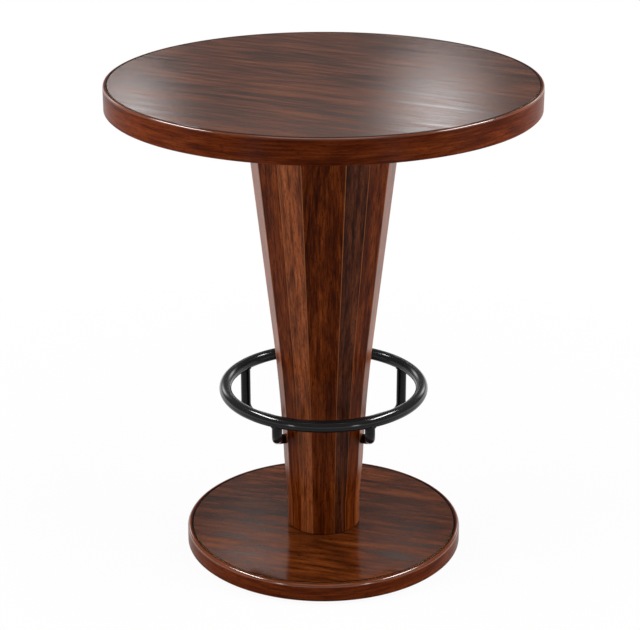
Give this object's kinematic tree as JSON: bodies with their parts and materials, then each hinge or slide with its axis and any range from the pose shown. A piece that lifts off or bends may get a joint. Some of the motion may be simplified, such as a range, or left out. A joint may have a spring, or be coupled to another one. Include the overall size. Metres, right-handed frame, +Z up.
{
  "type": "pub table",
  "caption": "Bar-height round pedestal table: veneered top with solid edge band, flared faceted stave column, black tube foot ring on bent brackets, round weighted base.",
  "frame": {"origin": "on the floor, on the table's axis", "axes": "+Z up, -Y towards the front, +X to the right seen from the front"},
  "size_m": [0.9139, 0.914, 1.067],
  "materials": {
    "panel_veneer": "straight-grained veneer, dark red-brown stain, satin-gloss lacquer",
    "edge_timber": "solid edge timber, dark red-brown stain, satin-gloss lacquer",
    "stave_red": "solid stave, red-brown stain, satin-gloss lacquer",
    "stave_light": "solid stave of a lighter tone, satin-gloss lacquer",
    "stave_dark": "solid stave of a darker tone, satin-gloss lacquer",
    "core_board": "plywood core, raw",
    "backer": "plain backing veneer, sealed",
    "block_timber": "birch block, raw",
    "black_enamel": "black gloss enamel on steel",
    "zinc_steel": "zinc-plated steel",
    "ballast_iron": "cast iron, black primer",
    "nylon": "black nylon"
  },
  "bodies": {
    "table": {"ballast_plate": "ballast_iron", "ballast_screws": "zinc_steel", "base_core_lower": "core_board", "base_core_upper": "core_board", "base_edge_band": "edge_timber", "base_veneer": "panel_veneer", "cleat_screws": "zinc_steel", "column_foot_block": "block_timber", "column_mid_block": "block_timber", "column_upper_former": "core_board", "flange_screws": "zinc_steel", "foot_ring": "black_enamel", "hanger_bolts": "zinc_steel", "locating_dowels": "block_timber", "ring_bracket_front_left": "black_enamel", "ring_bracket_front_right": "black_enamel", "ring_bracket_rear_left": "black_enamel", "ring_bracket_rear_right": "black_enamel", "stave_01": "stave_red", "stave_02": "stave_dark", "stave_03": "stave_red", "stave_04": "stave_light", "stave_05": "stave_dark", "stave_06": "stave_red", "stave_07": "stave_light", "stave_08": "stave_red", "stave_09": "stave_dark", "stave_10": "stave_red", "stave_11": "stave_dark", "stave_12": "stave_light", "stave_13": "stave_red", "stave_14": "stave_light", "threaded_inserts": "zinc_steel", "tie_rod": "zinc_steel", "tie_rod_nut": "zinc_steel", "tie_rod_washer": "zinc_steel", "top_backer": "backer", "top_cleat": "core_board", "top_core_lower": "core_board", "top_core_upper": "core_board", "top_edge_band": "edge_timber", "top_flange_plate": "zinc_steel", "top_veneer": "panel_veneer"},
    "leveller_1": {"leveller_stem_1": "zinc_steel", "leveller_pad_1": "nylon"},
    "leveller_2": {"leveller_stem_2": "zinc_steel", "leveller_pad_2": "nylon"},
    "leveller_3": {"leveller_stem_3": "zinc_steel", "leveller_pad_3": "nylon"},
    "leveller_4": {"leveller_stem_4": "zinc_steel", "leveller_pad_4": "nylon"}
  },
  "joints": [
    {"name": "leveller_1_screw", "type": "slide", "parent": "table", "child": "leveller_1", "axis": [0, 0, -1], "range_m": [0, 0.012]},
    {"name": "leveller_2_screw", "type": "slide", "parent": "table", "child": "leveller_2", "axis": [0, 0, -1], "range_m": [0, 0.012]},
    {"name": "leveller_3_screw", "type": "slide", "parent": "table", "child": "leveller_3", "axis": [0, 0, -1], "range_m": [0, 0.012]},
    {"name": "leveller_4_screw", "type": "slide", "parent": "table", "child": "leveller_4", "axis": [0, 0, -1], "range_m": [0, 0.012]}
  ]
}
